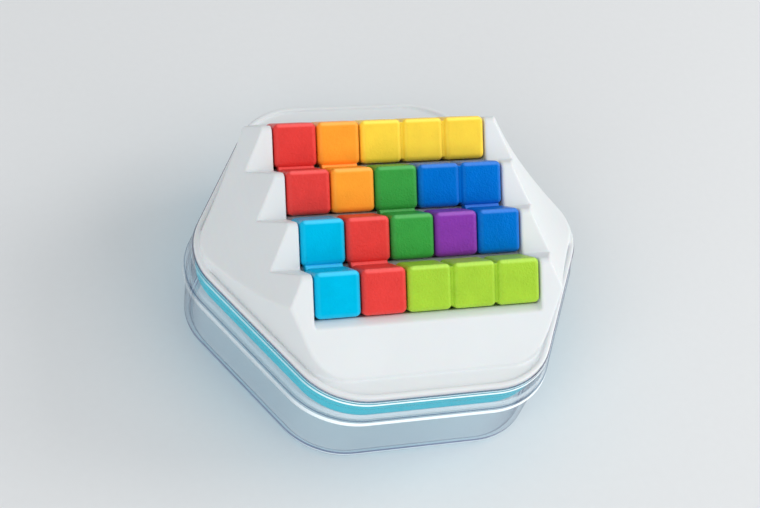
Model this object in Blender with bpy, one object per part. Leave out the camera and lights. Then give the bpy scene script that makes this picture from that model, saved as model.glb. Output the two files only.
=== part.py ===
"""A zigzag packing puzzle: nine coloured pieces made of joined cubes lie in a pocket with V-shaped rows.

The pocket is in a white hexagonal board with 45 degree saw-tooth sides. The board closes a turquoise base
cover that holds a booklet, and both stand in a clear hexagonal tub.

Frame: +Z up, origin at the centre of the tub's underside. The rows of cubes run along X, and the front is -Y.
"""

import math

import bmesh
import bpy
from mathutils import Matrix, Vector

# --- driving dimensions, in metres -------------------------------------------------------------------
CELL = 0.016  # pitch of the cubes along a row
COLUMNS = 5
ROWS = 4
GAP = 0.0004  # between neighbouring cubes
FIT = 0.0003  # between a cube and the pocket, and between other touching pieces

VALLEY_Z = 0.0541  # height of the lines where two rows of cubes meet
LIP_Z = 0.0393  # top of the board's raised lip
MOAT_Z = 0.0381  # floor of the shallow channel inside the lip
PLATE_Z = 0.0369  # underside of the board's flange
SHOULDER_Z = 0.0242  # the step in the tub's wall

WALL = 0.0016  # moulded wall of the board and the base cover
CLEAR_WALL = 0.0015  # moulded wall of the tub

# The rounded hexagon of the board's edge: corners on the X axis, flats at front and back.
HALF_WIDTH = 0.0749
HALF_DEPTH = 0.0676
SLANT = math.radians(29.4)  # angle from X to the normal of the slanted sides
CORNER_RADIUS = 0.026
ARC_STEPS = 8

# Distances of the other outlines from the board's edge, outward.
TUB_RIM_OFFSET = 0.0003
TUB_SHOULDER_OFFSET = 0.0011
TUB_NECK_OFFSET = -0.0003  # just under the shoulder
TUB_FOOT_OFFSET = -0.0018
TUB_WIDEN = 0.0019  # the tub below its rim is this much wider at each end of the X axis
BASE_OFFSET = -0.0016
LIP_WIDTH = 0.0018
SKIRT_OFFSET = BASE_OFFSET - WALL - FIT
SKIRT_DROP = 0.0035

# The mound that holds the pocket.
MOUND_HALF_WIDTH = 0.0718
MOUND_HALF_DEPTH = 0.0592
MOUND_RADIUS = 0.0168
HOLLOW_INSET = 0.0022  # from the mound's foot to the hollow inside it
MOUND_SINK = 0.0010  # the white saw-tooth lies this much lower than the cubes' faces
RIDGE_RADIUS = 0.0025
RIDGE_STEPS = 4
FLANK_TOP = (0.0439, 0.0097)  # x, and height over the valleys, where a flank meets the ridges
FLANK_SLOPE = math.radians(56.5)
FLANK_STRAIGHT = 0.010  # length of a flank's straight upper part, which runs out in an arc
FLANK_RADIUS = 0.033
FLANK_STEPS = 12
FRONT_LEDGE_DROP = 0.0026

# The pieces.
CUBE_EDGE = 0.0012
BRIDGE_INSET = 0.0011
WEB_DEPTH = 0.0036

# The tub and the base cover.
TUB_TOP_Z = PLATE_Z - FIT  # the board's flange rests on the tub's rim
TUB_EDGE = 0.0035
BASE_FLOOR_Z = SHOULDER_Z + CLEAR_WALL + FIT
BASE_EDGE = 0.0040
TAB_SIZE = (0.0030, 0.0006, 0.0028)
TAB_DROP = 0.0036  # from the cover's rim down to the middle of a tab
FLAT_TAB_SHIFT = -0.0141  # along the front and back sides, anticlockwise from their middle
SLANT_TAB_SHIFT = 0.0096  # the same along the slanted sides

# The booklet.
BOOKLET_SIZE = (0.090, 0.084)
CARD = 0.0004
PAGES = 0.0018
PAGES_INSET = 0.0008

ROW_STEP = CELL * math.sqrt(2)
HALF_DIAGONAL = CELL / math.sqrt(2)

# How the solids are made.
OVERLAP = 0.0007  # between two solids that are joined
OVERSHOOT = 0.016  # of a cutter past the surface it cuts
WELD = 2e-6  # points closer than this are one
EDGE_SEGMENTS = 3
CUBE_SEGMENTS = 2
SMOOTH_ANGLE = math.radians(35)
CLEAR_IOR = 1.49

# name: colour and the (row, column) of each cube, row 0 at the back and column 0 at the left
PIECES = {
    "red_domino_back": ("red", [(0, 0), (1, 0)]),
    "orange_domino": ("orange", [(0, 1), (1, 1)]),
    "yellow_bar": ("yellow", [(0, 2), (0, 3), (0, 4)]),
    "green_domino": ("green", [(1, 2), (2, 2)]),
    "blue_corner": ("blue", [(1, 4), (1, 3), (2, 4)]),
    "cyan_domino": ("cyan", [(2, 0), (3, 0)]),
    "red_domino_front": ("red", [(2, 1), (3, 1)]),
    "purple_single": ("purple", [(2, 3)]),
    "lime_bar": ("lime", [(3, 2), (3, 3), (3, 4)]),
}

# colour: linear RGB and roughness
FINISHES = {
    "red": ((0.700, 0.045, 0.040), 0.42),
    "orange": ((0.960, 0.330, 0.025), 0.38),
    "yellow": ((0.980, 0.620, 0.030), 0.38),
    "green": ((0.040, 0.320, 0.060), 0.42),
    "blue": ((0.003, 0.130, 0.560), 0.42),
    "cyan": ((0.002, 0.450, 0.830), 0.36),
    "purple": ((0.220, 0.050, 0.380), 0.42),
    "lime": ((0.400, 0.660, 0.035), 0.42),
    "white": ((0.860, 0.870, 0.870), 0.45),
    "turquoise": ((0.030, 0.520, 0.640), 0.40),
    "clear": ((0.880, 0.940, 0.970), 0.06),
    "card": ((0.060, 0.420, 0.560), 0.50),
    "paper": ((0.880, 0.870, 0.840), 0.85),
}


# --- scene -------------------------------------------------------------------------------------------
def clear_scene():
    for item in list(bpy.data.objects):
        bpy.data.objects.remove(item, do_unlink=True)
    for collection in list(bpy.data.collections):
        bpy.data.collections.remove(collection)


def new_collection(name):
    collection = bpy.data.collections.new(name)
    bpy.context.scene.collection.children.link(collection)
    return collection


def rough_solid(name, mesh):
    """A cutter, or a solid that isn't finished yet: both stay with the cutters."""
    solid = bpy.data.objects.new(name, mesh)
    solid.hide_render = True
    solid.display_type = "WIRE"
    bpy.data.collections["cutters"].objects.link(solid)
    return solid


def finish(name):
    """The Principled material of one plastic, card or paper."""
    material = bpy.data.materials.get(name)
    if material is None:
        colour, roughness = FINISHES[name]
        material = bpy.data.materials.new(name)
        material.use_nodes = True
        shader = material.node_tree.nodes["Principled BSDF"]
        shader.inputs["Base Color"].default_value = (*colour, 1.0)
        shader.inputs["Roughness"].default_value = roughness
        shader.inputs["Metallic"].default_value = 0.0
        if name == "clear":
            shader.inputs["Transmission Weight"].default_value = 1.0
            shader.inputs["IOR"].default_value = CLEAR_IOR
    return material


# --- outlines ----------------------------------------------------------------------------------------
def rounded_hexagon(half_width, half_depth, radius, steps=ARC_STEPS):
    """The outline of a hexagon with flats at +-Y, as points that run anticlockwise."""
    flat_x = half_width - half_depth * math.tan(SLANT)
    right = math.pi / 2
    corners = [
        ((half_width, 0.0), -SLANT, SLANT),
        ((flat_x, half_depth), SLANT, right),
        ((-flat_x, half_depth), right, 2 * right - SLANT),
        ((-half_width, 0.0), 2 * right - SLANT, 2 * right + SLANT),
        ((-flat_x, -half_depth), 2 * right + SLANT, 3 * right),
        ((flat_x, -half_depth), 3 * right, 4 * right - SLANT),
    ]
    points = []
    for (x, y), start, end in corners:
        middle = (start + end) / 2
        reach = radius / math.cos((end - start) / 2)
        centre = (x - reach * math.cos(middle), y - reach * math.sin(middle))
        for step in range(steps + 1):
            angle = start + (end - start) * step / steps
            points.append((centre[0] + radius * math.cos(angle), centre[1] + radius * math.sin(angle)))
    return points


def edge_outline(offset):
    """The board's edge moved outward by offset."""
    return rounded_hexagon(
        HALF_WIDTH + offset / math.cos(SLANT), HALF_DEPTH + offset, CORNER_RADIUS + offset
    )


def tub_outline(widen, offset):
    """The board's edge made wider at both ends of the X axis and then moved outward by offset."""
    return rounded_hexagon(
        HALF_WIDTH + widen + offset / math.cos(SLANT), HALF_DEPTH + offset, CORNER_RADIUS + widen + offset
    )


def tub_lower_section(height, inset):
    """The outline of the tub's wall below the shoulder, moved inward by inset."""
    rise = height / SHOULDER_Z
    return tub_outline(TUB_WIDEN, TUB_FOOT_OFFSET + rise * (TUB_NECK_OFFSET - TUB_FOOT_OFFSET) - inset)


def tub_upper_section(height, inset):
    """The outline of the tub's wall above the shoulder, moved inward by inset."""
    rise = (height - SHOULDER_Z) / (TUB_TOP_Z - SHOULDER_Z)
    offset = TUB_SHOULDER_OFFSET + rise * (TUB_RIM_OFFSET - TUB_SHOULDER_OFFSET)
    return tub_outline((1 - rise) * TUB_WIDEN, offset - inset)


def mound_outline(inset):
    """The foot of the mound moved inward by inset."""
    return rounded_hexagon(
        MOUND_HALF_WIDTH - inset / math.cos(SLANT), MOUND_HALF_DEPTH - inset, MOUND_RADIUS - inset
    )


def ridge_y(row):
    return ((ROWS - 1) / 2 - row) * ROW_STEP


def saw_profile(sink, base_z, ridge_radius):
    """The mound's section across the rows, as (y, z): a 45 degree saw-tooth on a flat base."""
    top_z = VALLEY_Z + HALF_DIAGONAL - sink
    centre_z = top_z - ridge_radius * math.sqrt(2)
    foot = ridge_y(0) + top_z - base_z
    points = [(-foot, base_z), (foot, base_z)]
    for row in range(ROWS):
        y = ridge_y(row)
        if ridge_radius:
            for step in range(RIDGE_STEPS + 1):
                turn = math.pi / 4 + math.pi / 2 * step / RIDGE_STEPS
                points.append((y + ridge_radius * math.cos(turn), centre_z + ridge_radius * math.sin(turn)))
        else:
            points.append((y, top_z))
        if row < ROWS - 1:
            points.append((y - HALF_DIAGONAL, VALLEY_Z - sink))
    return points


def flank_profile(inset, base_z, top_z):
    """The mound's section along the rows, as (x, z): a straight slope at each end that runs out in an arc."""
    run = math.cos(FLANK_SLOPE)
    fall = math.sin(FLANK_SLOPE)
    start_x = FLANK_TOP[0] - inset * fall
    start_z = VALLEY_Z + FLANK_TOP[1] - inset * run
    radius = FLANK_RADIUS + inset
    centre_x = start_x + FLANK_STRAIGHT * run + radius * fall
    centre_z = start_z - FLANK_STRAIGHT * fall + radius * run
    last_slope = math.asin((centre_x - HALF_WIDTH) / radius)
    right_side = [(start_x - (top_z - start_z) * run / fall, top_z)]
    for step in range(FLANK_STEPS + 1):
        slope = FLANK_SLOPE + (last_slope - FLANK_SLOPE) * step / FLANK_STEPS
        right_side.append((centre_x - radius * math.sin(slope), centre_z - radius * math.cos(slope)))
    right_side.append((HALF_WIDTH, base_z))
    left_side = [(-x, z) for x, z in reversed(right_side)]
    return left_side + right_side


def pocket_profile(drop, ledge):
    """The pocket's section across the rows, as (y, z): V-shaped rows with flat tops between them."""
    top_z = VALLEY_Z + 2 * HALF_DIAGONAL
    slack = FIT * math.sqrt(2)
    bottom_z = VALLEY_Z - HALF_DIAGONAL - slack - drop
    crest_z = VALLEY_Z - WEB_DEPTH - FIT - drop
    crest_half = HALF_DIAGONAL - (crest_z - bottom_z)
    side_y = ridge_y(0) + HALF_DIAGONAL + slack + drop
    points = [(side_y, top_z), (side_y, VALLEY_Z)]
    for row in range(ROWS):
        y = ridge_y(row)
        points.append((y, bottom_z))
        if row < ROWS - 1:
            points.append((y - HALF_DIAGONAL + crest_half, crest_z))
            points.append((y - HALF_DIAGONAL - crest_half, crest_z))
    if ledge:
        ledge_z = VALLEY_Z - FRONT_LEDGE_DROP
        points.append((-side_y + FRONT_LEDGE_DROP, ledge_z))
        points.append((-side_y - FRONT_LEDGE_DROP, ledge_z))
        points.append((-side_y - FRONT_LEDGE_DROP, top_z))
    else:
        points.append((-side_y, VALLEY_Z))
        points.append((-side_y, top_z))
    return points


# --- solids ------------------------------------------------------------------------------------------
ALONG_Z = Matrix.Identity(4)
ALONG_X = Matrix(((0, 0, 1, 0), (1, 0, 0, 0), (0, 1, 0, 0), (0, 0, 0, 1)))
ALONG_Y = Matrix.Rotation(math.pi / 2, 4, "X")


def bake(item):
    """Replaces an object's data by its evaluated mesh, with no modifiers left and no doubled points."""
    bpy.context.view_layer.update()
    graph = bpy.context.evaluated_depsgraph_get()
    mesh = bpy.data.meshes.new_from_object(item.evaluated_get(graph), depsgraph=graph)
    body = bmesh.new()
    body.from_mesh(mesh)
    bmesh.ops.remove_doubles(body, verts=body.verts, dist=WELD)
    bmesh.ops.dissolve_degenerate(body, edges=body.edges, dist=WELD)
    body.to_mesh(mesh)
    body.free()
    item.modifiers.clear()
    item.data = mesh
    return item


def prism(outline, low, high, direction=ALONG_Z):
    """A solid with a flat outline, swept from low to high along one axis."""
    curve = bpy.data.curves.new("outline", "CURVE")
    curve.dimensions = "2D"
    curve.fill_mode = "BOTH"
    curve.extrude = (high - low) / 2
    spline = curve.splines.new("POLY")
    spline.points.add(len(outline) - 1)
    for point, (u, v) in zip(spline.points, outline):
        point.co = (u, v, 0.0, 1.0)
    spline.use_cyclic_u = True
    sketch = bpy.data.objects.new("outline", curve)
    bpy.context.scene.collection.objects.link(sketch)
    bpy.context.view_layer.update()
    graph = bpy.context.evaluated_depsgraph_get()
    mesh = bpy.data.meshes.new_from_object(sketch.evaluated_get(graph), depsgraph=graph)
    bpy.data.objects.remove(sketch, do_unlink=True)
    bpy.data.curves.remove(curve)
    body = bmesh.new()
    body.from_mesh(mesh)
    bmesh.ops.remove_doubles(body, verts=body.verts, dist=WELD)
    for cap_z in ((high - low) / 2, (low - high) / 2):
        cap = [f for f in body.faces if all(abs(v.co.z - cap_z) < WELD for v in f.verts)]
        bmesh.ops.dissolve_faces(body, faces=cap)
    bmesh.ops.recalc_face_normals(body, faces=body.faces)
    body.to_mesh(mesh)
    body.free()
    mesh.transform(direction @ Matrix.Translation((0.0, 0.0, (low + high) / 2)))
    return rough_solid("prism", mesh)


def tapered_prism(section, inset, low, high):
    """A solid whose wall follows section(height, inset), an outline that changes evenly with the height."""
    top = [Vector(point) for point in section(high, inset)]
    bottom = section(low, inset)
    solid = prism(section(high, inset), low, high)
    for vertex in solid.data.vertices:
        if vertex.co.z < (low + high) / 2:
            distances = [(point - vertex.co.xy).length for point in top]
            vertex.co.xy = bottom[distances.index(min(distances))]
    return solid


def block(size, bevel=0.0, turn=0.0, place=(0.0, 0.0, 0.0), spin=0.0):
    """A box, with its edges rounded, turned about X, spun about Z and put in its place."""
    body = bmesh.new()
    bmesh.ops.create_cube(body, size=1.0, matrix=Matrix.Diagonal((*size, 1.0)))
    if bevel:
        bmesh.ops.bevel(
            body, geom=body.edges[:], offset=bevel, segments=CUBE_SEGMENTS, profile=0.5, affect="EDGES"
        )
    move = Matrix.Translation(place) @ Matrix.Rotation(spin, 4, "Z") @ Matrix.Rotation(turn, 4, "X")
    bmesh.ops.transform(body, matrix=move, verts=body.verts)
    mesh = bpy.data.meshes.new("block")
    body.to_mesh(mesh)
    body.free()
    return rough_solid("block", mesh)


def combine(solid, operation, *others):
    """Joins, cuts or intersects a solid with the others, which are used up."""
    for other in others:
        modifier = solid.modifiers.new("combine", "BOOLEAN")
        modifier.operation = operation
        modifier.solver = "EXACT"
        modifier.object = other
        bake(solid)
        bpy.data.objects.remove(other, do_unlink=True)
    return solid


def round_floor_edge(solid, floor_z, radius):
    """Rounds the edge between a solid's underside and its walls."""
    body = bmesh.new()
    body.from_mesh(solid.data)
    rim = []
    for edge in body.edges:
        low = all(abs(v.co.z - floor_z) < WELD for v in edge.verts)
        if low and len({round(abs(f.normal.z), 3) for f in edge.link_faces}) == 2:
            rim.append(edge)
    bmesh.ops.bevel(body, geom=rim, offset=radius, segments=EDGE_SEGMENTS, profile=0.5, affect="EDGES")
    body.to_mesh(solid.data)
    body.free()
    return solid


def publish(solid, name, colour, parts, origin=(0.0, 0.0, 0.0)):
    """Names a finished solid, gives it its material and origin, and files it with the parts."""
    solid.data.transform(Matrix.Translation(-Vector(origin)))
    solid.location = origin
    solid.name = name
    solid.data.name = name
    solid.data.materials.clear()
    solid.data.materials.append(finish(colour))
    solid.data.shade_smooth()
    solid.data.set_sharp_from_angle(angle=SMOOTH_ANGLE)
    solid.hide_render = False
    solid.display_type = "TEXTURED"
    bpy.data.collections["cutters"].objects.unlink(solid)
    parts.objects.link(solid)


# --- sub-parts ---------------------------------------------------------------------------------------
def make_tub(parts):
    """The clear tub: a cup that widens up to a shoulder, then narrows to the rim under the board's flange."""
    ledge_z = SHOULDER_Z + CLEAR_WALL
    above = TUB_TOP_Z + OVERLAP
    tub = tapered_prism(tub_lower_section, 0.0, 0.0, SHOULDER_Z + OVERLAP)
    round_floor_edge(tub, 0.0, TUB_EDGE)
    combine(tub, "UNION", tapered_prism(tub_upper_section, 0.0, SHOULDER_Z, TUB_TOP_Z))
    bore = tapered_prism(tub_lower_section, CLEAR_WALL, CLEAR_WALL, ledge_z + OVERLAP)
    round_floor_edge(bore, CLEAR_WALL, TUB_EDGE - CLEAR_WALL)
    combine(tub, "DIFFERENCE", bore, tapered_prism(tub_upper_section, CLEAR_WALL, ledge_z, above))
    publish(tub, "clear_tub", "clear", parts)


def tab_places(offset):
    """The place of the tab on each of the six sides of the offset outline, with the angle of its normal."""
    flat_x = HALF_WIDTH - HALF_DEPTH * math.tan(SLANT)
    slant_middle = Vector(((HALF_WIDTH + flat_x) / 2, HALF_DEPTH / 2))
    places = []
    for side_x, side_y in ((1, 1), (-1, 1), (-1, -1), (1, -1)):
        normal = Vector((side_x * math.cos(SLANT), side_y * math.sin(SLANT)))
        middle = Vector((side_x * slant_middle.x, side_y * slant_middle.y)) + offset * normal
        places.append((middle + SLANT_TAB_SHIFT * normal.orthogonal(), math.atan2(normal.y, normal.x)))
    for side_y in (1, -1):
        normal = Vector((0.0, side_y))
        middle = (HALF_DEPTH + offset) * normal
        places.append((middle + FLAT_TAB_SHIFT * normal.orthogonal(), side_y * math.pi / 2))
    return places


def make_base_cover(parts):
    """The turquoise dish that closes the board from below, with a snap tab on each side."""
    top_z = PLATE_Z - FIT
    cover = round_floor_edge(prism(edge_outline(BASE_OFFSET), BASE_FLOOR_Z, top_z), BASE_FLOOR_Z, BASE_EDGE)
    tabs = [
        block(TAB_SIZE, place=(*place, top_z - TAB_DROP), spin=angle - math.pi / 2)
        for place, angle in tab_places(BASE_OFFSET)
    ]
    combine(cover, "UNION", *tabs)
    floor_z = BASE_FLOOR_Z + WALL
    hollow = prism(edge_outline(BASE_OFFSET - WALL), floor_z, top_z + OVERSHOOT)
    combine(cover, "DIFFERENCE", round_floor_edge(hollow, floor_z, BASE_EDGE - WALL))
    publish(cover, "base_cover", "turquoise", parts)


def make_mound():
    """The mound as a full solid: the saw-tooth across the rows, cut by the flanks and the foot's outline."""
    high = VALLEY_Z + CELL
    mound = prism(mound_outline(0.0), MOAT_Z - OVERLAP, high)
    saw = prism(saw_profile(MOUND_SINK, PLATE_Z, RIDGE_RADIUS), -HALF_WIDTH, HALF_WIDTH, ALONG_X)
    flanks = prism(flank_profile(0.0, PLATE_Z, high + OVERSHOOT), -HALF_DEPTH, HALF_DEPTH, ALONG_Y)
    combine(mound, "INTERSECT", saw, flanks)
    return mound


def make_board_hollow():
    """The space inside the board: the mound less its walls, around the floor of the pocket."""
    low = PLATE_Z - OVERSHOOT
    high = VALLEY_Z + CELL
    hollow = prism(mound_outline(HOLLOW_INSET), low, high)
    sink = MOUND_SINK + WALL * math.sqrt(2)
    saw = prism(saw_profile(sink, low, 0.0), -HALF_WIDTH, HALF_WIDTH, ALONG_X)
    flanks = prism(flank_profile(WALL, low, high + OVERSHOOT), -HALF_DEPTH, HALF_DEPTH, ALONG_Y)
    combine(hollow, "INTERSECT", saw, flanks)
    half_length = COLUMNS * CELL / 2 + FIT + WALL
    floor = prism(pocket_profile(WALL * math.sqrt(2), False), -half_length, half_length, ALONG_X)
    combine(hollow, "DIFFERENCE", floor)
    return hollow


def make_board(parts):
    """The white board: a lipped flange, the hollow mound with its pocket, and a skirt below."""
    board = prism(edge_outline(0.0), PLATE_Z, LIP_Z)
    combine(board, "DIFFERENCE", prism(edge_outline(-LIP_WIDTH), MOAT_Z, LIP_Z + OVERSHOOT))
    skirt_low = PLATE_Z - SKIRT_DROP
    skirt = prism(edge_outline(SKIRT_OFFSET), skirt_low, PLATE_Z + OVERLAP)
    bore = prism(edge_outline(SKIRT_OFFSET - WALL), skirt_low - OVERSHOOT, PLATE_Z + OVERSHOOT)
    combine(board, "UNION", combine(skirt, "DIFFERENCE", bore), make_mound())
    half_length = COLUMNS * CELL / 2 + FIT
    pocket = prism(pocket_profile(0.0, True), -half_length, half_length, ALONG_X)
    combine(board, "DIFFERENCE", pocket, make_board_hollow())
    publish(board, "board", "white", parts)


def cube_centre(row, column):
    return Vector(((column - (COLUMNS - 1) / 2) * CELL, ridge_y(row), VALLEY_Z))


def make_piece(name, colour, cells, parts):
    """Cubes that stand on edge, joined by bridges along a row and by webs from row to row."""
    size = CELL - GAP
    cubes = [
        block((size,) * 3, CUBE_EDGE, math.pi / 4, cube_centre(row, column)) for row, column in cells
    ]
    links = []
    core = size - 2 * BRIDGE_INSET
    for row, column in cells:
        if (row, column + 1) in cells:
            middle = (cube_centre(row, column) + cube_centre(row, column + 1)) / 2
            links.append(block((CELL / 2, core, core), turn=math.pi / 4, place=middle))
        if (row + 1, column) in cells:
            middle = (cube_centre(row, column) + cube_centre(row + 1, column)) / 2
            middle.z -= WEB_DEPTH / 2 + FIT
            links.append(block((core, 2 * WEB_DEPTH, WEB_DEPTH - 2 * FIT), place=middle))
    piece = combine(cubes[0], "UNION", *links, *cubes[1:])
    publish(piece, name, colour, parts, cube_centre(*cells[0]))


def make_booklet(parts):
    """A card cover folded round a block of pages, lying in the base cover."""
    width, depth = BOOKLET_SIZE
    low = BASE_FLOOR_Z + WALL + FIT
    high = low + 2 * CARD + PAGES + 2 * FIT
    cover = block((width, depth, high - low), place=(0.0, 0.0, (low + high) / 2))
    slot = block((width, 2 * depth, PAGES + 2 * FIT), place=(CARD, 0.0, (low + high) / 2))
    combine(cover, "DIFFERENCE", slot)
    publish(cover, "booklet_cover", "card", parts)
    inset = PAGES_INSET
    pages = block(
        (width - CARD - FIT - inset, depth - 2 * inset, PAGES),
        place=((CARD + FIT - inset) / 2, 0.0, (low + high) / 2),
    )
    publish(pages, "booklet_pages", "paper", parts)


def main():
    clear_scene()
    parts = new_collection("zigzag_puzzle")
    new_collection("cutters")
    make_tub(parts)
    make_base_cover(parts)
    make_booklet(parts)
    make_board(parts)
    for name, (colour, cells) in PIECES.items():
        make_piece(name, colour, cells, parts)


main()
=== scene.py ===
"""The looks of the zigzag packing puzzle.

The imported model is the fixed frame. Every shown piece is rebuilt here with fine edges and a procedural material,
rides on its body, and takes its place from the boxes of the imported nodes. Units are metres, +Z is up, the rows
of cubes run along X and the front is -Y.
"""

import math

import bmesh
import bpy
from mathutils import Matrix, Vector


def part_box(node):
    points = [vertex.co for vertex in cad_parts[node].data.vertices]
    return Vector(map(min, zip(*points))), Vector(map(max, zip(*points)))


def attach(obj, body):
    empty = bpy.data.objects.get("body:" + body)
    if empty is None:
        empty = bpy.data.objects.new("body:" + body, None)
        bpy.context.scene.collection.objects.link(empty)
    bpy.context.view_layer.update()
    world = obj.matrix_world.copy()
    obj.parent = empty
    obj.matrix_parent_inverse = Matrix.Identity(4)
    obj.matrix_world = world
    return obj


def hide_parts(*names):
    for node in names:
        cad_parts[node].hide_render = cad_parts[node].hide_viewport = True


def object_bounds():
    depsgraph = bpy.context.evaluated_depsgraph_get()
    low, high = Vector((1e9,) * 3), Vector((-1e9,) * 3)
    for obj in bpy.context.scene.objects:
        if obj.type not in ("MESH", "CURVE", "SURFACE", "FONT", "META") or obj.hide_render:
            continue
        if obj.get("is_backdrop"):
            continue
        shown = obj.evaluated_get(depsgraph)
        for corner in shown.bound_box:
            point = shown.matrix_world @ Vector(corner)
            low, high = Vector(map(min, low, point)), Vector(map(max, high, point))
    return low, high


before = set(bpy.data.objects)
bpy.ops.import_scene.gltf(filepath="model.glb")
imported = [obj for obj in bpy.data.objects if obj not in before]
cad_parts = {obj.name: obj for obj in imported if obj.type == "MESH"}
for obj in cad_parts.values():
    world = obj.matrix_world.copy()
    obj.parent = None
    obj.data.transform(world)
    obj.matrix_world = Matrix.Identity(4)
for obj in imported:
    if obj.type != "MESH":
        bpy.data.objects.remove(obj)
CAD_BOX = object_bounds()

# --- sizes from the frame ----------------------------------------------------------------------------
SINGLE_LOW, SINGLE_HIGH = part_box("purple_single")
BAR_LOW, BAR_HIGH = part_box("lime_bar")
TUB_LOW, TUB_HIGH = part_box("clear_tub")
COVER_LOW, COVER_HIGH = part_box("base_cover")
BOARD_LOW, BOARD_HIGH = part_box("board")
BOOKLET_LOW, BOOKLET_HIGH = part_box("booklet_cover")
PAGES_LOW, PAGES_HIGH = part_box("booklet_pages")

COLUMNS = 5
ROWS = 4
CUBE = SINGLE_HIGH.x - SINGLE_LOW.x
CELL = (BAR_HIGH.x - BAR_LOW.x - CUBE) / 2
ROW_STEP = CELL * math.sqrt(2)
VALLEY_Z = (SINGLE_LOW.z + SINGLE_HIGH.z) / 2

# The rounded hexagon of the board's edge: corners on the X axis, flats at front and back.
SLANT = math.radians(29.4)
CORNER_RADIUS = 0.026
HALF_DEPTH = BOARD_HIGH.y
HALF_WIDTH = BOARD_HIGH.x + CORNER_RADIUS * (1 / math.cos(SLANT) - 1)
CORNER_STEPS = 20
PATH_STEPS = 6

# The tub's walls, as distances outward from the board's edge.
FIT = 0.0003  # between two pieces that touch
CLEAR_WALL = 0.0015
SHOULDER_Z = COVER_LOW.z - CLEAR_WALL - FIT
SHOULDER_OFFSET = TUB_HIGH.y - HALF_DEPTH
RIM_OFFSET = 0.0003
NECK_OFFSET = -0.0003
FOOT_OFFSET = -0.0018
BEAD_HEIGHT = 0.0030  # of the thick rim
BEAD_DEPTH = 0.0004
LIP_OUTSIDE = 0.0006  # of the thin clear lip round the edge of the board
LIP_INSIDE = 0.0002
LIP_RISE = 0.0014  # above the underside of the board's edge
SHOULDER_HEIGHT = 0.0026
SHOULDER_CHAMFER = 0.0012
# Below its rim the tub is this much wider at each end of the X axis.
TUB_WIDEN = (TUB_HIGH.x - BOARD_HIGH.x - SHOULDER_OFFSET) / (2 - 1 / math.cos(SLANT))
CAP_OFFSET = -0.012  # the flat faces of floors start this far inside

# The turquoise cover.
COVER_WALL = 0.0016
COVER_EDGE = 0.0020
COVER_OFFSET = COVER_HIGH.x - BOARD_HIGH.x
TAB_SIZE = (0.0030, 0.0006, 0.0028)
TAB_DROP = 0.0036  # from the cover's rim down to the middle of a tab
FLAT_TAB_SHIFT = -0.0141  # along the front and back sides, anticlockwise from their middle
SLANT_TAB_SHIFT = 0.0096  # the same along the slanted sides

# The cubes.
CUBE_EDGE = 0.0020
CUBE_SEGMENTS = 5
BRIDGE_INSET = 0.0011
BRIDGE_EDGE = 0.0005
WEB_DEPTH = 0.0036
WEB_LOW = 0.0006

# The board's surface.
VOXEL = 0.00038
SOFTENING = 6
CREST_SOFTENING = 10
CREST_REACH = 0.0025
MOUND_SIDE = 0.0626  # from the centre to a slanted side of the mound
BOARD_TRIANGLES = 190000

# name: colour and the (row, column) of each cube, row 0 at the back and column 0 at the left
PIECES = {
    "red_domino_back": ("red", [(0, 0), (1, 0)]),
    "orange_domino": ("orange", [(0, 1), (1, 1)]),
    "yellow_bar": ("yellow", [(0, 2), (0, 3), (0, 4)]),
    "green_domino": ("green", [(1, 2), (2, 2)]),
    "blue_corner": ("blue", [(1, 4), (1, 3), (2, 4)]),
    "cyan_domino": ("cyan", [(2, 0), (3, 0)]),
    "red_domino_front": ("red", [(2, 1), (3, 1)]),
    "purple_single": ("purple", [(2, 3)]),
    "lime_bar": ("lime", [(3, 2), (3, 3), (3, 4)]),
}

# colour: linear RGB, how deep the moulded grain is, and roughness
PLASTICS = {
    "red": ((0.760, 0.050, 0.044), 1.5, 0.37),
    "orange": ((1.000, 0.365, 0.030), 0.5, 0.33),
    "yellow": ((1.000, 0.675, 0.055), 0.4, 0.33),
    "green": ((0.039, 0.335, 0.053), 1.2, 0.37),
    "blue": ((0.000, 0.152, 0.600), 1.1, 0.35),
    "cyan": ((0.000, 0.470, 0.750), 0.4, 0.34),
    "purple": ((0.235, 0.038, 0.400), 1.2, 0.37),
    "lime": ((0.368, 0.620, 0.040), 1.5, 0.37),
}
HIGHLIGHT_EDGE_START = 0.531  # pointiness at which the painted highlight on a cube's edge begins
HIGHLIGHT_EDGE_FULL = 0.570
EDGE_PAINTED_HIGHLIGHT = 0.19
TOP_HIGHLIGHT_START = 0.84  # how far up a surface faces where the painted highlight on a cube's top edge begins
CLEAR_EDGE_POWER = 5.0  # higher makes the clear plastic's dark edges narrower
BOARD_LIP_Z = 0.0393
PAINTED_HIGHLIGHT_SIDE = (0.25, -0.97, 0.0)  # the side of the tub whose painted highlight lines are brightest
TUB_PAINTED_LINES = (  # low and high edge, tint and milkiness of the painted lines in the tub's wall: a tint darkens the view through it into a painted dark line, and milkiness is the share of painted highlight
    (0.0017, 0.0022, (0.58, 0.55, 0.68), 0.0),
    (0.0023, 0.0031, (0.98, 0.99, 1.00), 0.50),
    (0.0032, 0.0043, (0.50, 0.48, 0.62), 0.0),
    (0.0241, 0.0263, (1.00, 1.00, 1.00), 0.95),
    (0.0269, 0.0274, (0.50, 0.56, 0.66), 0.0),
    (0.0278, 0.0300, (0.94, 0.97, 1.00), 0.32),
    (0.0355, 0.0363, (1.00, 1.00, 1.00), 0.95),
    (0.0364, 0.0369, (0.58, 0.60, 0.66), 0.12),
    (0.0370, 0.0374, (0.94, 0.95, 0.97), 0.85),
    (0.0375, 0.0380, (0.70, 0.61, 0.67), 0.10),
)
WELD = 2e-6


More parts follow.
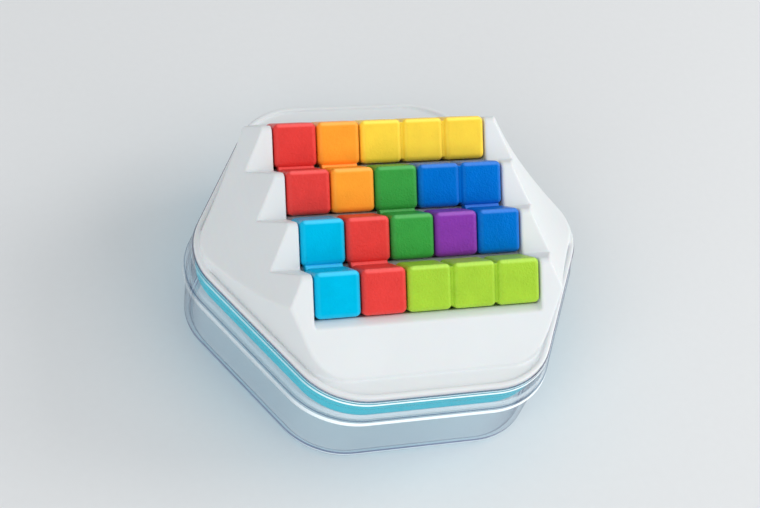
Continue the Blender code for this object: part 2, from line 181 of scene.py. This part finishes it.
# --- materials ---------------------------------------------------------------------------------------
class Recipe:
    """A new material and short calls to add nodes to it."""

    def __init__(self, name):
        self.material = bpy.data.materials.new(name)
        self.material.use_nodes = True
        self.nodes = self.material.node_tree.nodes
        self.links = self.material.node_tree.links
        self.shader = self.nodes["Principled BSDF"]
        self.place = self.add("ShaderNodeTexCoord").outputs["Object"]

    def add(self, kind, **inputs):
        """A node with its inputs set to values, or linked when the value is an output."""
        node = self.nodes.new(kind)
        for name, value in inputs.items():
            self.feed(node.inputs[name.replace("_", " ")], value)
        return node

    def feed(self, socket, value):
        if isinstance(value, bpy.types.NodeSocket):
            self.links.new(value, socket)
        else:
            socket.default_value = value

    def noise(self, size, detail=3.0):
        """Noise whose features are about size metres."""
        return self.add("ShaderNodeTexNoise", Vector=self.place, Scale=1 / size, Detail=detail).outputs["Fac"]

    def between(self, value, low, high):
        """The value, remapped from the middle of its range to low and high."""
        node = self.add("ShaderNodeMapRange", Value=value, To_Min=low, To_Max=high)
        node.inputs["From Min"].default_value = 0.3
        node.inputs["From Max"].default_value = 0.7
        return node.outputs["Result"]

    def tint(self, colour, factor, amount):
        """The colour, darker and lighter by amount as the factor goes from 0.3 to 0.7."""
        node = self.add("ShaderNodeHueSaturation", Color=(*colour, 1.0))
        self.feed(node.inputs["Value"], self.between(factor, 1 - amount, 1 + amount))
        return node.outputs["Color"]

    def bump(self, height, distance, strength=1.0, below=None):
        node = self.add("ShaderNodeBump", Height=height, Distance=distance, Strength=strength)
        if below is not None:
            self.feed(node.inputs["Normal"], below)
        return node.outputs["Normal"]

    def total(self, first, second, share):
        """first plus share times second."""
        node = self.nodes.new("ShaderNodeMath")
        node.operation = "MULTIPLY_ADD"
        self.feed(node.inputs[0], second)
        node.inputs[1].default_value = share
        self.feed(node.inputs[2], first)
        return node.outputs["Value"]


def coloured_plastic(name):
    """Moulded plastic with a leathery grain of fine cells and soft creases, and painted highlights on its edges,
    strongest on the top edges.
    """
    colour, grain, roughness = PLASTICS[name]
    recipe = Recipe(name + "_plastic")
    cells = recipe.add("ShaderNodeTexVoronoi", Vector=recipe.place, Scale=1 / 0.00055)
    cells.feature = "SMOOTH_F1"
    creases = recipe.noise(0.0010, 5.0)
    height = recipe.total(creases, cells.outputs["Distance"], 0.6)
    wear = recipe.noise(0.006)
    shader = recipe.shader
    surface = recipe.add("ShaderNodeNewGeometry")
    # painted highlight: the rounded edges, and most of all the top edges that face up, are painted a lighter
    # colour where the light would catch them
    edge = recipe.add("ShaderNodeMapRange", Value=surface.outputs["Pointiness"], To_Min=0.0, To_Max=0.45)
    edge.inputs["From Min"].default_value = HIGHLIGHT_EDGE_START
    edge.inputs["From Max"].default_value = HIGHLIGHT_EDGE_FULL
    painted_edge_highlight = recipe.nodes.new("ShaderNodeMix")
    painted_edge_highlight.data_type = "RGBA"
    upward = recipe.add("ShaderNodeSeparateXYZ", Vector=surface.outputs["Normal"]).outputs["Z"]
    painted_top_highlight = recipe.add("ShaderNodeMapRange", Value=upward, To_Min=0.0, To_Max=1.0)
    painted_top_highlight.inputs["From Min"].default_value = TOP_HIGHLIGHT_START
    painted_top_highlight.inputs["From Max"].default_value = 1.0
    recipe.feed(painted_edge_highlight.inputs["Factor"], recipe.total(edge.outputs["Result"], painted_top_highlight.outputs["Result"], 1.0))
    recipe.feed(painted_edge_highlight.inputs["A"], recipe.tint(colour, wear, 0.05))
    painted_edge_highlight.inputs["B"].default_value = (*(share + EDGE_PAINTED_HIGHLIGHT * (1.6 * share + 0.4) for share in colour), 1.0)
    recipe.feed(shader.inputs["Base Color"], painted_edge_highlight.outputs["Result"])
    recipe.feed(shader.inputs["Roughness"], recipe.between(creases, roughness - 0.08, roughness + 0.06))
    recipe.feed(shader.inputs["Normal"], recipe.bump(height, 0.00016 * grain))
    shader.inputs["IOR"].default_value = 1.5
    shader.inputs["Specular IOR Level"].default_value = 0.42
    shader.inputs["Specular Tint"].default_value = (*(share ** 0.5 for share in colour), 1.0)
    shader.inputs["Subsurface Weight"].default_value = 0.08
    shader.inputs["Subsurface Scale"].default_value = 0.002
    return recipe.material


def white_plastic():
    """Satin white plastic, with a faint moulded texture and slight shade changes."""
    recipe = Recipe("white_plastic")
    fine = recipe.noise(0.0005, 4.0)
    broad = recipe.noise(0.020)
    shader = recipe.shader
    recipe.feed(shader.inputs["Base Color"], recipe.tint((0.748, 0.776, 0.790), broad, 0.012))
    recipe.feed(shader.inputs["Roughness"], recipe.between(fine, 0.40, 0.52))
    recipe.feed(shader.inputs["Normal"], recipe.bump(fine, 0.000025))
    shader.inputs["Specular IOR Level"].default_value = 0.40
    shader.inputs["Subsurface Weight"].default_value = 0.10
    shader.inputs["Subsurface Scale"].default_value = 0.003
    return recipe.material


def turquoise_plastic():
    """Translucent turquoise plastic. A faint painted glow, strongest on its underside, stands for the light that
    soaks through it and tints the floor inside the tub.
    """
    recipe = Recipe("turquoise_plastic")
    fine = recipe.noise(0.0007, 4.0)
    broad = recipe.noise(0.015)
    shader = recipe.shader
    recipe.feed(shader.inputs["Base Color"], recipe.tint((0.020, 0.520, 0.620), broad, 0.04))
    recipe.feed(shader.inputs["Roughness"], recipe.between(fine, 0.30, 0.42))
    recipe.feed(shader.inputs["Normal"], recipe.bump(fine, 0.00003))
    shader.inputs["Emission Color"].default_value = (0.12, 0.68, 1.0, 1.0)
    # painted glow: the emission falls from the cover's underside towards its rim
    height = recipe.add("ShaderNodeSeparateXYZ", Vector=recipe.place).outputs["Z"]
    glow = recipe.add("ShaderNodeMapRange", Value=height, To_Min=0.22, To_Max=0.05)
    glow.inputs["From Min"].default_value = COVER_LOW.z
    glow.inputs["From Max"].default_value = COVER_LOW.z + COVER_EDGE / 2
    recipe.feed(shader.inputs["Emission Strength"], glow.outputs["Result"])
    return recipe.material


def painted_wall_lines(recipe):
    """The painted lines of the clear wall at each height: a painted dark tint as the colour, and the share of
    painted highlight as the alpha.
    """
    height = recipe.add("ShaderNodeSeparateXYZ", Vector=recipe.place).outputs["Z"]
    share = recipe.add("ShaderNodeMapRange", Value=height, To_Min=0.0, To_Max=1.0)
    share.inputs["From Min"].default_value = 0.0
    share.inputs["From Max"].default_value = BOARD_LIP_Z
    ramp = recipe.add("ShaderNodeValToRGB", Fac=share.outputs["Result"])
    ramp.color_ramp.interpolation = "CONSTANT"
    stops = ramp.color_ramp.elements
    for stop in stops:
        stop.color = (1.0, 1.0, 1.0, 0.0)
    for low, high, colour, painted_highlight in TUB_PAINTED_LINES:
        stops.new(low / BOARD_LIP_Z).color = (*colour, painted_highlight)
        stops.new(high / BOARD_LIP_Z).color = (1.0, 1.0, 1.0, 0.0)
    return ramp


def clear_plastic():
    """Thin clear plastic: see-through face on, violet-grey where it is seen along its surface, and shiny.
    The light that the thick beads and corners of the moulding gather is painted: painted highlights as milky,
    faintly glowing lines, brightest on the front side, and painted dark lines as tinted lines."""
    recipe = Recipe("clear_plastic")
    recipe.nodes.remove(recipe.shader)
    scuffs = recipe.noise(0.004, 6.0)
    facing = recipe.add("ShaderNodeLayerWeight", Blend=0.5).outputs["Facing"]
    along = recipe.nodes.new("ShaderNodeMath")
    along.operation = "POWER"
    recipe.feed(along.inputs[0], facing)
    along.inputs[1].default_value = CLEAR_EDGE_POWER
    tint = recipe.nodes.new("ShaderNodeMix")
    tint.data_type = "RGBA"
    recipe.feed(tint.inputs["Factor"], along.outputs["Value"])
    tint.inputs["A"].default_value = (0.970, 0.990, 1.0, 1.0)
    tint.inputs["B"].default_value = (0.50, 0.50, 0.62, 1.0)
    lines = painted_wall_lines(recipe)
    outside = recipe.add("ShaderNodeMapRange", To_Min=1.0, To_Max=0.0)
    recipe.feed(outside.inputs["Value"], recipe.add("ShaderNodeNewGeometry").outputs["Backfacing"])
    lined = recipe.nodes.new("ShaderNodeMix")
    lined.data_type = "RGBA"
    lined.blend_type = "MULTIPLY"
    recipe.feed(lined.inputs["Factor"], outside.outputs["Result"])
    recipe.feed(lined.inputs["A"], tint.outputs["Result"])
    recipe.feed(lined.inputs["B"], lines.outputs["Color"])
    passing = recipe.add("ShaderNodeBsdfTransparent", Color=lined.outputs["Result"])
    shine = recipe.add("ShaderNodeBsdfGlossy", Roughness=recipe.between(scuffs, 0.010, 0.045))
    glance = recipe.add("ShaderNodeMapRange", Value=along.outputs["Value"], To_Min=0.04, To_Max=0.90)
    rays = recipe.add("ShaderNodeLightPath")
    soft_rays = recipe.total(rays.outputs["Is Shadow Ray"], rays.outputs["Is Diffuse Ray"], 1.0)
    mirror = recipe.add("ShaderNodeMapRange", Value=soft_rays, To_Max=0.0)
    recipe.feed(mirror.inputs["To Min"], glance.outputs["Result"])
    clear = recipe.add("ShaderNodeMixShader", Fac=mirror.outputs["Result"])
    recipe.links.new(passing.outputs["BSDF"], clear.inputs[1])
    recipe.links.new(shine.outputs["BSDF"], clear.inputs[2])
    # painted highlight: a milky, faintly glowing white, laid on by height and brightest on the front side
    painted_highlight = recipe.add("ShaderNodeBsdfPrincipled", Roughness=0.25)
    painted_highlight.inputs["Base Color"].default_value = (0.86, 0.93, 0.96, 1.0)
    painted_highlight.inputs["Emission Color"].default_value = (0.90, 0.98, 1.0, 1.0)
    painted_highlight.inputs["Emission Strength"].default_value = 0.28
    lit_side = recipe.nodes.new("ShaderNodeVectorMath")
    lit_side.operation = "DOT_PRODUCT"
    recipe.feed(lit_side.inputs[0], recipe.add("ShaderNodeNewGeometry").outputs["Normal"])
    lit_side.inputs[1].default_value = PAINTED_HIGHLIGHT_SIDE
    glow = recipe.add("ShaderNodeMapRange", Value=lit_side.outputs["Value"], To_Min=0.22, To_Max=1.0)
    glow.inputs["From Min"].default_value = 0.10
    glow.inputs["From Max"].default_value = 0.85
    front_glow = recipe.nodes.new("ShaderNodeMath")
    front_glow.operation = "MULTIPLY"
    recipe.feed(front_glow.inputs[0], glow.outputs["Result"])
    recipe.feed(front_glow.inputs[1], outside.outputs["Result"])
    painted_highlight_share = recipe.nodes.new("ShaderNodeMath")
    painted_highlight_share.operation = "MULTIPLY"
    recipe.feed(painted_highlight_share.inputs[0], lines.outputs["Alpha"])
    recipe.feed(painted_highlight_share.inputs[1], front_glow.outputs["Value"])
    mix = recipe.add("ShaderNodeMixShader", Fac=painted_highlight_share.outputs["Value"])
    recipe.links.new(clear.outputs["Shader"], mix.inputs[1])
    recipe.links.new(painted_highlight.outputs["BSDF"], mix.inputs[2])
    recipe.links.new(mix.outputs["Shader"], recipe.nodes["Material Output"].inputs["Surface"])
    return recipe.material


def printed_card():
    """Coated card in a plain blue, slightly rubbed."""
    recipe = Recipe("printed_card")
    fibres = recipe.noise(0.0006, 6.0)
    rub = recipe.noise(0.012, 4.0)
    recipe.feed(recipe.shader.inputs["Base Color"], recipe.tint((0.050, 0.360, 0.500), rub, 0.08))
    recipe.feed(recipe.shader.inputs["Roughness"], recipe.between(rub, 0.42, 0.60))
    recipe.feed(recipe.shader.inputs["Normal"], recipe.bump(fibres, 0.00002))
    return recipe.material


def page_paper():
    recipe = Recipe("page_paper")
    fibres = recipe.noise(0.0004, 6.0)
    recipe.feed(recipe.shader.inputs["Base Color"], recipe.tint((0.86, 0.85, 0.81), fibres, 0.04))
    recipe.feed(recipe.shader.inputs["Normal"], recipe.bump(fibres, 0.00003))
    recipe.shader.inputs["Roughness"].default_value = 0.85
    return recipe.material


def floor_paper():
    """The matt, pale studio floor."""
    recipe = Recipe("floor_paper")
    fibres = recipe.noise(0.003, 5.0)
    recipe.feed(recipe.shader.inputs["Base Color"], recipe.tint((0.750, 0.762, 0.772), fibres, 0.006))
    recipe.shader.inputs["Roughness"].default_value = 0.8
    recipe.shader.inputs["Specular IOR Level"].default_value = 0.2
    return recipe.material


# --- mesh tools --------------------------------------------------------------------------------------
def new_piece(name, body):
    """An object from a bmesh, which is used up."""
    mesh = bpy.data.meshes.new(name)
    body.to_mesh(mesh)
    body.free()
    piece = bpy.data.objects.new(name, mesh)
    bpy.context.scene.collection.objects.link(piece)
    return piece


def bake(piece):
    """Applies the modifiers and welds doubled points."""
    bpy.context.view_layer.update()
    graph = bpy.context.evaluated_depsgraph_get()
    mesh = bpy.data.meshes.new_from_object(piece.evaluated_get(graph), depsgraph=graph)
    body = bmesh.new()
    body.from_mesh(mesh)
    bmesh.ops.remove_doubles(body, verts=body.verts, dist=WELD)
    bmesh.ops.dissolve_degenerate(body, edges=body.edges, dist=WELD)
    body.to_mesh(mesh)
    body.free()
    piece.modifiers.clear()
    piece.data = mesh
    return piece


def join_solids(piece, others):
    """Makes one closed body of a piece and the others, which are used up."""
    for other in others:
        union = piece.modifiers.new("join", "BOOLEAN")
        union.operation = "UNION"
        union.solver = "EXACT"
        union.object = other
        bake(piece)
        bpy.data.objects.remove(other, do_unlink=True)
    return piece


def dress(piece, body, nodes, slot, material, sharp=40.0):
    """Gives a finished piece its shading and material, attaches it to its body and hides the imported nodes it
    replaces.
    """
    piece.data.materials.clear()
    piece.data.materials.append(material)
    piece.data.shade_smooth()
    piece.data.set_sharp_from_angle(angle=math.radians(sharp))
    weighted = piece.modifiers.new("flat_faces", "WEIGHTED_NORMAL")
    weighted.keep_sharp = True
    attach(piece, body)
    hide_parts(*nodes)


def block(size, edge, segments, turn=0.0, place=(0.0, 0.0, 0.0), spin=0.0):
    """A box with rounded edges, turned about X, spun about Z and put in its place."""
    body = bmesh.new()
    bmesh.ops.create_cube(body, size=1.0, matrix=Matrix.Diagonal((*size, 1.0)))
    bmesh.ops.bevel(body, geom=body.edges[:], offset=edge, segments=segments, profile=0.5, affect="EDGES")
    move = Matrix.Translation(place) @ Matrix.Rotation(spin, 4, "Z") @ Matrix.Rotation(turn, 4, "X")
    bmesh.ops.transform(body, matrix=move, verts=body.verts)
    return new_piece("block", body)


def hexagon(offset, widen=0.0):
    """The board's edge made wider at both X ends and then moved outward, as points that run anticlockwise."""
    half_width = HALF_WIDTH + widen + offset / math.cos(SLANT)
    half_depth = HALF_DEPTH + offset
    radius = CORNER_RADIUS + widen + offset
    flat_x = half_width - half_depth * math.tan(SLANT)
    right = math.pi / 2
    corners = [
        (half_width, 0.0, -SLANT, SLANT),
        (flat_x, half_depth, SLANT, right),
        (-flat_x, half_depth, right, 2 * right - SLANT),
        (-half_width, 0.0, 2 * right - SLANT, 2 * right + SLANT),
        (-flat_x, -half_depth, 2 * right + SLANT, 3 * right),
        (flat_x, -half_depth, 3 * right, 4 * right - SLANT),
    ]
    points = []
    for x, y, start, end in corners:
        middle = (start + end) / 2
        reach = radius / math.cos((end - start) / 2)
        for step in range(CORNER_STEPS + 1):
            angle = start + (end - start) * step / CORNER_STEPS
            points.append(
                (
                    x - reach * math.cos(middle) + radius * math.cos(angle),
                    y - reach * math.sin(middle) + radius * math.sin(angle),
                )
            )
    return points


def rounded_path(corners):
    """A path through corners given as (offset, height, radius), with an arc at every inner corner."""
    path = [corners[0][:2]]
    for before, (offset, height, radius), after in zip(corners, corners[1:], corners[2:]):
        corner = Vector((offset, height))
        back = (Vector(before[:2]) - corner).normalized()
        ahead = (Vector(after[:2]) - corner).normalized()
        half = back.angle(ahead) / 2
        centre = corner + (back + ahead).normalized() * radius / math.sin(half)
        start = corner + back * radius / math.tan(half) - centre
        sweep = math.pi - 2 * half
        if back.x * ahead.y - back.y * ahead.x > 0:
            sweep = -sweep
        for step in range(PATH_STEPS + 1):
            path.append(tuple(centre + Matrix.Rotation(sweep * step / PATH_STEPS, 2) @ start))
    path.append(corners[-1][:2])
    return path


def no_widening(height):
    return 0.0


def tub_widening(height):
    """Full up to the tub's shoulder, and none at its rim."""
    return TUB_WIDEN * min(1.0, (TUB_HIGH.z - height) / (TUB_HIGH.z - SHOULDER_Z))


def hexagon_vessel(name, corners, widening=no_widening):
    """A closed body: the wall section is carried round the hexagon, and flat faces close its two ends."""
    body = bmesh.new()
    rings = []
    for offset, height in rounded_path(corners):
        rings.append([body.verts.new((x, y, height)) for x, y in hexagon(offset, widening(height))])
    for lower, upper in zip(rings, rings[1:]):
        for side in range(len(lower)):
            after = (side + 1) % len(lower)
            body.faces.new((lower[side], lower[after], upper[after], upper[side]))
    body.faces.new(list(reversed(rings[0])))
    body.faces.new(rings[-1])
    bmesh.ops.recalc_face_normals(body, faces=body.faces)
    return new_piece(name, body)


# --- pieces ------------------------------------------------------------------------------------------
def make_tub(material):
    """The clear tub: a tapering cup, a bead at its shoulder, a thinner wall and a thick beaded rim."""
    top = TUB_HIGH.z
    ledge = SHOULDER_Z + CLEAR_WALL
    bead_low = top - BEAD_HEIGHT
    shoulder_high = SHOULDER_Z + SHOULDER_HEIGHT
    wall_low = RIM_OFFSET + BEAD_DEPTH / 2
    wall_high = RIM_OFFSET - BEAD_DEPTH
    tub = hexagon_vessel("tub_shell", [
        (CAP_OFFSET, 0.0, 0.0),
        (FOOT_OFFSET, 0.0, 0.0035),
        (NECK_OFFSET, SHOULDER_Z, 0.0006),
        (SHOULDER_OFFSET, SHOULDER_Z, 0.0007),
        (SHOULDER_OFFSET, shoulder_high, 0.0005),
        (wall_low, shoulder_high + SHOULDER_CHAMFER, 0.0005),
        (wall_high, bead_low - BEAD_DEPTH, 0.0003),
        (LIP_OUTSIDE, bead_low, 0.0003),
        (LIP_OUTSIDE, top + LIP_RISE, 0.0001),
        (LIP_INSIDE, top + LIP_RISE, 0.0001),
        (LIP_INSIDE, top, 0.0001),
        (RIM_OFFSET - CLEAR_WALL, top, 0.0005),
        (SHOULDER_OFFSET - CLEAR_WALL, ledge, 0.0006),
        (NECK_OFFSET - CLEAR_WALL, ledge, 0.0007),
        (FOOT_OFFSET - CLEAR_WALL, CLEAR_WALL, 0.0020),
        (CAP_OFFSET, CLEAR_WALL, 0.0),
    ], tub_widening)
    dress(tub, "clear_tub", ["clear_tub"], "clear", material)


def tab_places(offset):
    """The place of the tab on each side of the offset hexagon, with the angle of its normal."""
    flat_x = HALF_WIDTH - HALF_DEPTH * math.tan(SLANT)
    for side_x, side_y in ((1, 1), (-1, 1), (-1, -1), (1, -1)):
        normal = Vector((side_x * math.cos(SLANT), side_y * math.sin(SLANT)))
        middle = Vector((side_x * (HALF_WIDTH + flat_x) / 2, side_y * HALF_DEPTH / 2)) + offset * normal
        yield middle + SLANT_TAB_SHIFT * normal.orthogonal(), math.atan2(normal.y, normal.x)
    for side_y in (1, -1):
        normal = Vector((0.0, side_y))
        yield (HALF_DEPTH + offset) * normal + FLAT_TAB_SHIFT * normal.orthogonal(), side_y * math.pi / 2


def make_base_cover(material):
    """The turquoise dish under the board, with a snap tab on each side."""
    floor, top = COVER_LOW.z, COVER_HIGH.z
    inner = COVER_OFFSET - COVER_WALL
    cover = hexagon_vessel("base_cover_dish", [
        (CAP_OFFSET, floor, 0.0),
        (COVER_OFFSET, floor, COVER_EDGE),
        (COVER_OFFSET, top, 0.0004),
        (inner, top, 0.0004),
        (inner, floor + COVER_WALL, COVER_EDGE - COVER_WALL),
        (CAP_OFFSET, floor + COVER_WALL, 0.0),
    ])
    tabs = [
        block(TAB_SIZE, 0.0002, 3, place=(*place, top - TAB_DROP), spin=angle - math.pi / 2)
        for place, angle in tab_places(COVER_OFFSET)
    ]
    join_solids(cover, tabs)
    dress(cover, "base_cover", ["base_cover"], "turquoise", material)


def make_booklet(card, paper):
    """A folded card cover with rounded corners round a stack of thin leaves."""
    size = BOOKLET_HIGH - BOOKLET_LOW
    centre = (BOOKLET_LOW + BOOKLET_HIGH) / 2
    thickness = 0.0004
    for name, height in (("cover_front", BOOKLET_HIGH.z - thickness / 2), ("cover_back", BOOKLET_LOW.z + thickness / 2)):
        sheet = block((size.x, size.y, thickness), 0.00012, 2, place=(centre.x, centre.y, height))
        sheet.name = name
        if name == "cover_back":
            spine = block(
                (thickness, size.y, size.z), 0.00012, 2, place=(BOOKLET_LOW.x + thickness / 2, centre.y, centre.z)
            )
            cover = join_solids(cover, [sheet, spine])
        else:
            cover = sheet
    cover.name = "booklet_card"
    dress(cover, "booklet", ["booklet_cover"], "card", card)
    leaves = 9
    pages = PAGES_HIGH - PAGES_LOW
    middle = (PAGES_LOW + PAGES_HIGH) / 2
    pitch = pages.z / leaves
    stack = bmesh.new()
    for leaf in range(leaves):
        inset = 0.0002 * (leaf % 3)
        place = (middle.x - inset / 2, middle.y, PAGES_LOW.z + pitch * (leaf + 0.5))
        shape = Matrix.Translation(place) @ Matrix.Diagonal((pages.x - inset, pages.y - inset, pitch * 0.85, 1.0))
        bmesh.ops.create_cube(stack, size=1.0, matrix=shape)
    dress(new_piece("booklet_leaves", stack), "booklet", ["booklet_pages"], "paper", paper)


def crest_weight(point):
    """1 at the mound's slanted sides and 0 further in, above the flange only."""
    across = abs(point.x) * math.cos(SLANT) + abs(point.y) * math.sin(SLANT)
    inside = MOUND_SIDE - across
    if inside < -0.0008 or point.z < TUB_HIGH.z + 0.0012:
        return 0.0
    return max(0.0, 1.0 - max(inside, 0.0) / CREST_REACH)


def make_board(material):
    """The white board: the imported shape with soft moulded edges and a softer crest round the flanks."""
    board = bpy.data.objects.new("board_shell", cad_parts["board"].data.copy())
    bpy.context.scene.collection.objects.link(board)
    remesh = board.modifiers.new("remesh", "REMESH")
    remesh.mode = "VOXEL"
    remesh.voxel_size = VOXEL
    bake(board)
    crest = board.vertex_groups.new(name="crest")
    for vertex in board.data.vertices:
        weight = crest_weight(vertex.co)
        if weight:
            crest.add([vertex.index], weight, "REPLACE")
    soft_crest = board.modifiers.new("soft_crest", "SMOOTH")
    soft_crest.factor = 0.5
    soft_crest.iterations = CREST_SOFTENING
    soft_crest.vertex_group = crest.name
    soft = board.modifiers.new("soft", "SMOOTH")
    soft.factor = 0.5
    soft.iterations = SOFTENING
    bake(board)
    lighten = board.modifiers.new("lighten", "DECIMATE")
    lighten.ratio = min(1.0, BOARD_TRIANGLES / (2 * len(board.data.polygons)))
    bake(board)
    dress(board, "board", ["board"], "white", material, sharp=80.0)


def cube_centre(row, column):
    return Vector(((column - (COLUMNS - 1) / 2) * CELL, ((ROWS - 1) / 2 - row) * ROW_STEP, VALLEY_Z))


def make_cubes(name, cells, colour, material):
    """Cubes that stand on edge, joined by bridges along a row and by webs from row to row."""
    cubes = [block((CUBE,) * 3, CUBE_EDGE, CUBE_SEGMENTS, math.pi / 4, cube_centre(*cell)) for cell in cells]
    core = CUBE - 2 * BRIDGE_INSET
    links = []
    for row, column in cells:
        if (row, column + 1) in cells:
            middle = (cube_centre(row, column) + cube_centre(row, column + 1)) / 2
            links.append(block((CELL / 2, core, core), BRIDGE_EDGE, 2, math.pi / 4, middle))
        if (row + 1, column) in cells:
            middle = (cube_centre(row, column) + cube_centre(row + 1, column)) / 2
            middle.z -= (WEB_DEPTH + WEB_LOW) / 2
            links.append(block((core, 2 * WEB_DEPTH, WEB_DEPTH - WEB_LOW), BRIDGE_EDGE, 2, 0.0, middle))
    piece = join_solids(cubes[0], links + cubes[1:])
    piece.name = name + "_cubes"
    dress(piece, name, [name], colour, material)


# --- studio ------------------------------------------------------------------------------------------
FLOOR_RADIUS = 3.0
WORLD_LIGHT = 0.535
WORLD_SEEN = 0.72  # behind the floor's horizon
AIM = Vector((-0.0116, -0.0190, VALLEY_Z))
DISTANCE = 0.5044
AZIMUTH = math.radians(-26.78)
ELEVATION = math.radians(48.18)
ROLL = math.radians(16.71)
LENS = 69.8


def make_floor(material):
    body = bmesh.new()
    bmesh.ops.create_circle(body, cap_ends=True, segments=96, radius=FLOOR_RADIUS)
    floor = new_piece("floor", body)
    floor.data.materials.append(material)
    floor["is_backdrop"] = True


def make_light(name, place, size, power, colour):
    """A soft square light that shines at the object."""
    lamp = bpy.data.lights.new(name, "AREA")
    lamp.size = size
    lamp.energy = power
    lamp.color = colour
    light = bpy.data.objects.new(name, lamp)
    light.location = place
    light.rotation_euler = (-Vector(place)).to_track_quat("-Z", "Y").to_euler()
    bpy.context.scene.collection.objects.link(light)


def make_world():
    world = bpy.data.worlds.new("studio")
    world.use_nodes = True
    background = world.node_tree.nodes["Background"]
    background.inputs["Color"].default_value = (0.965, 0.985, 1.0, 1.0)
    rays = world.node_tree.nodes.new("ShaderNodeLightPath")
    seen = world.node_tree.nodes.new("ShaderNodeMapRange")
    seen.inputs["To Min"].default_value = WORLD_LIGHT
    seen.inputs["To Max"].default_value = WORLD_SEEN
    world.node_tree.links.new(rays.outputs["Is Camera Ray"], seen.inputs["Value"])
    world.node_tree.links.new(seen.outputs["Result"], background.inputs["Strength"])
    bpy.context.scene.world = world
    bpy.context.scene.view_settings.view_transform = "Standard"


def make_camera():
    """Looks down at the front left of the board, turned a little about its own axis."""
    back = Vector((
        math.sin(AZIMUTH) * math.cos(ELEVATION),
        -math.cos(AZIMUTH) * math.cos(ELEVATION),
        math.sin(ELEVATION),
    ))
    right = Vector((math.cos(AZIMUTH), math.sin(AZIMUTH), 0.0))
    up = back.cross(right)
    lens = bpy.data.cameras.new("camera")
    lens.lens = LENS
    camera = bpy.data.objects.new("camera", lens)
    level = Matrix((right, up, back)).transposed()
    camera.matrix_world = Matrix.Translation(AIM + DISTANCE * back) @ (
        level @ Matrix.Rotation(ROLL, 3, "Z")
    ).to_4x4()
    bpy.context.scene.collection.objects.link(camera)
    bpy.context.scene.camera = camera


def write_sizes():
    boxes = {"cad": CAD_BOX, "visual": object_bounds()}
    {name: [list(corner) for corner in box] for name, box in boxes.items()}


make_tub(clear_plastic())
make_base_cover(turquoise_plastic())
make_booklet(printed_card(), page_paper())
make_board(white_plastic())
plastics = {colour: coloured_plastic(colour) for colour in PLASTICS}
for name, (colour, cells) in PIECES.items():
    make_cubes(name, cells, colour, plastics[colour])
make_floor(floor_paper())
make_light("front_left", (-0.95, -0.95, 0.90), 1.1, 9.7, (1.0, 1.0, 1.0))
make_light("front_right", (0.95, -0.95, 0.90), 1.1, 5.5, (1.0, 1.0, 1.0))
make_light("right", (1.45, 0.10, 0.70), 0.9, 12.4, (1.0, 0.985, 0.965))
make_world()
make_camera()
write_sizes()
